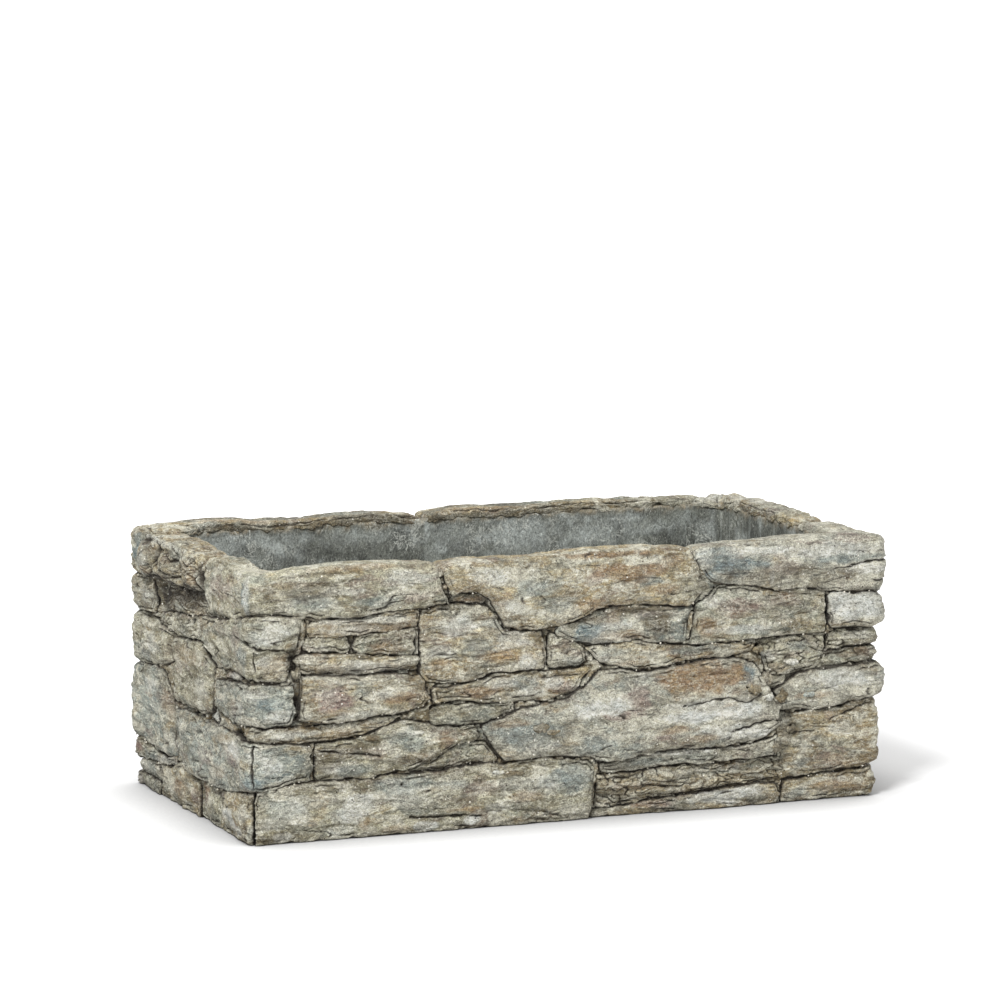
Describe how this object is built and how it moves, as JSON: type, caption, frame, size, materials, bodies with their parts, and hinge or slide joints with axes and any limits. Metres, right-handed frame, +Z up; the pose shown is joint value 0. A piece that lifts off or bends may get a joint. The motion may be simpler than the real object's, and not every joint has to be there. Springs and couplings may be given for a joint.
{
  "type": "stone planter",
  "caption": "Rectangular garden trough with a drain hole, faced on all sides and capped at the rim with rough stacked ledge stones.",
  "frame": {"origin": "middle of the base, on the ground that the planter stands on", "axes": "+X along the length, to the right seen from the front; +Y from front to back; +Z up"},
  "size_m": [0.424, 0.226, 0.165],
  "materials": {
    "cement": "smooth cast cement, matt slate grey",
    "mortar": "rough dark mortar",
    "grey_stone": "warm grey rough split ledge stone",
    "buff_stone": "sandy buff rough split ledge stone",
    "rust_stone": "rust-stained rough split ledge stone",
    "slate_stone": "blue-grey rough split ledge stone",
    "pale_stone": "lime-whitened rough split ledge stone"
  },
  "bodies": {
    "root": {"trough": "cement", "mortar_bed": "mortar", "coping_front_left_corner": "grey_stone", "coping_front_middle": "rust_stone", "coping_front_right_corner": "pale_stone", "coping_back_right_corner": "buff_stone", "coping_back_middle": "buff_stone", "coping_back_left_corner": "rust_stone", "coping_left": "buff_stone", "front_upper_left_block": "rust_stone", "front_upper_slab": "slate_stone", "front_upper_right_block": "grey_stone", "front_long_thin_stone": "buff_stone", "front_left_strips": "buff_stone", "front_middle_left_block": "rust_stone", "front_middle_block": "rust_stone", "front_great_stone": "pale_stone", "front_right_crumbled_stone": "grey_stone", "front_lower_left_block": "grey_stone", "front_lower_right_thin_stone": "pale_stone", "front_layered_stone": "buff_stone", "base_front_left_stone": "grey_stone", "base_front_right_stone": "rust_stone", "front_small_stones": "grey_stone", "quoin_front_left_upper": "grey_stone", "quoin_front_left_middle": "slate_stone", "quoin_front_left_strip": "buff_stone", "quoin_front_left_lower": "slate_stone", "base_front_left_corner": "buff_stone", "quoin_front_right_upper": "pale_stone", "quoin_front_right_thin_pair": "grey_stone", "quoin_front_right_middle": "pale_stone", "quoin_front_right_lower": "buff_stone", "base_front_right_corner": "buff_stone", "left_thin_stones": "grey_stone", "left_middle_stone": "grey_stone", "left_base_stone": "rust_stone", "left_small_stones": "grey_stone", "quoin_back_left_upper": "buff_stone", "quoin_back_left_middle": "grey_stone", "quoin_back_left_lower": "slate_stone", "base_back_left_corner": "grey_stone", "right_upper_block": "grey_stone", "right_middle_block": "slate_stone", "right_lower_block": "buff_stone", "base_right_stone": "grey_stone", "quoin_back_right_upper": "pale_stone", "quoin_back_right_middle": "buff_stone", "quoin_back_right_lower": "grey_stone", "base_back_right_corner": "slate_stone", "back_upper_left_block": "slate_stone", "back_upper_middle_block": "buff_stone", "back_middle_left_stone": "rust_stone", "back_middle_stone": "grey_stone", "back_middle_right_stone": "buff_stone", "back_lower_left_stone": "buff_stone", "back_lower_right_stone": "slate_stone", "base_back_left_stone": "grey_stone", "base_back_middle_stone": "rust_stone"}
  },
  "joints": []
}
